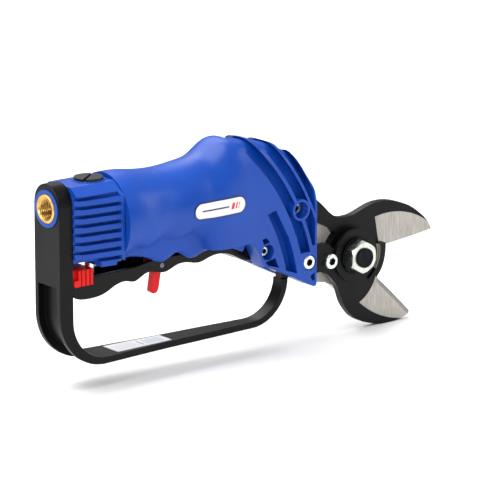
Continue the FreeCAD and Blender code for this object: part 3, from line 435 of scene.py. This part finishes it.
# Painted light: the carrier and near cheek get a lighter, less metallic copy of the ground steel, so they
# read brighter where shade falls on them.
CARRIER_PAINTED_LIGHT = ground_steel("carrier_steel_painted_light", rgb(206, 201, 192), rgb(182, 176, 166), 0.42, (0.1, 1.0, 1.0), 0.2)
STEEL = ground_steel("ground_steel", rgb(198, 193, 184), rgb(172, 166, 156), 0.36, (0.1, 1.0, 1.0))
WIRE = ground_steel("spring_wire", rgb(150, 151, 155), rgb(118, 119, 124), 0.32, (1.0, 1.0, 0.3))
RUBBER = soft_rubber("seal_rubber")
UPPER = blade_finish("upper_blade_steel", upper_bare)
LOWER = blade_finish("lower_blade_steel", lower_bare)
LABEL = label_print("label_film", *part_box("name_label"))
GUARD_LABEL = guard_print("guard_label_film", *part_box("guard_label"))

FINISH = {
    "barrel_housing": BLUE, "valve_block": BLUE, "hand_guard": BLACK, "inlet_bush": BRASS,
    "top_plug": PLUG, "plug_seal": RUBBER, "block_screws": ZINC,
    "valve_seat": BUSH, "valve_stem": ZINC, "valve_disc": RUBBER, "valve_spring": WIRE,
    "cylinder_liner": ALLOY, "cylinder_cap": ALLOY, "cap_seal": RUBBER,
    "rod_guide": ALLOY, "rod_seal": RUBBER, "return_spring": WIRE,
    "piston": ALLOY, "piston_seal": RUBBER, "piston_rod": ZINC, "rod_fork": STEEL, "fork_pin": ZINC,
    "upper_blade": UPPER, "lower_blade": LOWER, "blade_bush": BUSH,
    "blade_carrier": CARRIER_PAINTED_LIGHT, "near_cheek": CARRIER_PAINTED_LIGHT, "carrier_spacer": STEEL,
    "pivot_bolt": BOLT, "pivot_nut": NUT, "pivot_washer": BOLT, "bolt_washer": BOLT,
    "upper_screws": screw_finish("upper_screws", 0.0022),
    "front_screw": screw_finish("front_screw", 0.0023), "front_nut": ZINC,
    "tang_screw": screw_finish("tang_screw", 0.0025),
    "trigger_screw": screw_finish("trigger_screw", 0.0017), "trigger_nut": ZINC,
    "trigger": TRIGGER_BLACK, "trigger_lock": RED,
    "safety_lever": RED, "lever_pin": PIN, "lever_spring": WIRE,
    "name_label": LABEL, "guard_label": GUARD_LABEL,
}
for name, obj in nodes.items():
    obj.data.materials.clear()
    obj.data.materials.append(FINISH[name])


# ------------------------------------------------------------------ threaded inlet insert
def thread_radius(depth, turn):
    """Radius of the threaded wall at a depth from the mouth and an angle round the axis."""
    phase = (depth / THREAD_PITCH - turn / (2 * math.pi)) % 1.0
    rise = 1.0 - abs(2.0 * phase - 1.0)
    share = min(1.0, max(0.0, rise * FLANK_SLOPE - ROOT_FLAT))
    return THREAD_MINOR_R + (THREAD_MAJOR_R - THREAD_MINOR_R) * share


def threaded_bush():
    """Brass insert with real G1/4 thread turns on its wall, in the place of the plain bored one."""
    low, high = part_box("inlet_bush")
    outer_r = (high.z - low.z) / 2
    length = high.x - low.x
    rows = int((length - 2 * THREAD_RELIEF) / THREAD_PITCH * ROWS_PER_TURN)
    turns = [2 * math.pi * i / RING_STEPS for i in range(RING_STEPS)]
    mesh = bmesh.new()

    def ring(x, radii):
        return [mesh.verts.new((x, r * math.cos(turn), r * math.sin(turn))) for r, turn in zip(radii, turns)]

    def plain_ring(x, radius):
        return ring(x, [radius] * RING_STEPS)

    def skin(a, b):
        for i in range(RING_STEPS):
            j = (i + 1) % RING_STEPS
            mesh.faces.new((a[i], a[j], b[j], b[i]))

    rings = [plain_ring(low.x + MOUTH_CHAMFER, outer_r), plain_ring(low.x, outer_r - MOUTH_CHAMFER),
             plain_ring(low.x, THREAD_MAJOR_R + MOUTH_CHAMFER)]
    for k in range(rows + 1):
        x = low.x + THREAD_RELIEF + k * THREAD_PITCH / ROWS_PER_TURN
        rings.append(ring(x, [thread_radius(x - low.x, turn) for turn in turns]))
    rings.append(plain_ring(high.x, THREAD_MINOR_R))
    rings.append(plain_ring(high.x, outer_r))
    for a, b in zip(rings, rings[1:]):
        skin(a, b)
    skin(rings[-1], rings[0])
    bmesh.ops.recalc_face_normals(mesh, faces=mesh.faces)
    data = bpy.data.meshes.new("threaded_bush")
    mesh.to_mesh(data)
    mesh.free()
    piece = bpy.data.objects.new("threaded_bush", data)
    bpy.context.scene.collection.objects.link(piece)
    data.materials.append(BRASS)
    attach(piece, "body")
    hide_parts("inlet_bush")


threaded_bush()


# ------------------------------------------------------------------ stage, light and camera
def pale_floor():
    """Wide sheet of near-white paper just under the tool."""
    bpy.ops.mesh.primitive_plane_add(size=FLOOR_SIZE, location=(0.12, 0.0, start_box[0].z - FLOOR_GAP))
    floor = bpy.context.object
    floor.name = "studio_floor"
    g = Graph("studio_floor_paper")
    g.set("Base Color", g.mix(g.noise(3.0), (0.93, 0.93, 0.93, 1.0), (0.90, 0.90, 0.90, 1.0)))
    g.set("Roughness", 0.9)
    floor.data.materials.append(g.material)


def area_light(name, place, aim, size, power):
    """White rectangular soft box that faces aim."""
    data = bpy.data.lights.new(name, "AREA")
    data.shape = "RECTANGLE"
    data.size, data.size_y = size
    data.energy = power
    light = bpy.data.objects.new(name, data)
    light.location = place
    light.rotation_euler = (Vector(aim) - Vector(place)).to_track_quat("-Z", "Y").to_euler()
    bpy.context.scene.collection.objects.link(light)


def world_light():
    """White surroundings that brighten from the horizon up."""
    world = bpy.data.worlds.new("studio_world")
    world.use_nodes = True
    tree = world.node_tree
    background = tree.nodes["Background"]
    background.inputs["Color"].default_value = (1.0, 1.0, 1.0, 1.0)
    direction = tree.nodes.new("ShaderNodeTexCoord")
    split = tree.nodes.new("ShaderNodeSeparateXYZ")
    rise = tree.nodes.new("ShaderNodeMapRange")
    for name, value in (("From Min", -0.05), ("From Max", 0.75), ("To Min", 0.10), ("To Max", 0.70)):
        rise.inputs[name].default_value = value
    tree.links.new(direction.outputs["Generated"], split.inputs[0])
    tree.links.new(split.outputs[2], rise.inputs["Value"])
    tree.links.new(rise.outputs["Result"], background.inputs["Strength"])
    bpy.context.scene.world = world


def studio_light():
    """Soft boxes over, beside and in front of the tool, and one for the floor behind it."""
    area_light("top_soft_box", (-0.25, 0.15, 1.15), TOOL_MIDDLE, (1.1, 0.9), 17.0)
    area_light("near_soft_box", (-0.85, -1.05, 0.65), TOOL_MIDDLE, (0.7, 0.6), 7.0)
    area_light("front_strip", (1.1, -0.6, 0.35), TOOL_MIDDLE, (0.3, 0.9), 4.0)
    area_light("floor_wash", (0.4, 1.6, 1.5), (0.3, 0.9, -0.1), (2.0, 1.4), 30.0)


def photo_camera():
    """Long lens seen from behind and to the near side, a little above the tool."""
    back = Vector((math.sin(AZIMUTH) * math.cos(ELEVATION), -math.cos(AZIMUTH) * math.cos(ELEVATION),
                   math.sin(ELEVATION)))
    right = Vector((math.cos(AZIMUTH), math.sin(AZIMUTH), 0.0))
    up = back.cross(right)
    data = bpy.data.cameras.new("photo_camera")
    data.sensor_width = SENSOR
    data.lens = LENS
    data.clip_end = 50.0
    camera = bpy.data.objects.new("photo_camera", data)
    camera.location = INLET + back * CAMERA_DISTANCE + right * RIGHT_SHIFT + up * UP_SHIFT
    camera.rotation_euler = back.to_track_quat("Z", "Y").to_euler()
    bpy.context.scene.collection.objects.link(camera)
    bpy.context.scene.camera = camera


pale_floor()
world_light()
studio_light()
photo_camera()
bpy.context.scene.view_settings.view_transform = "Standard"
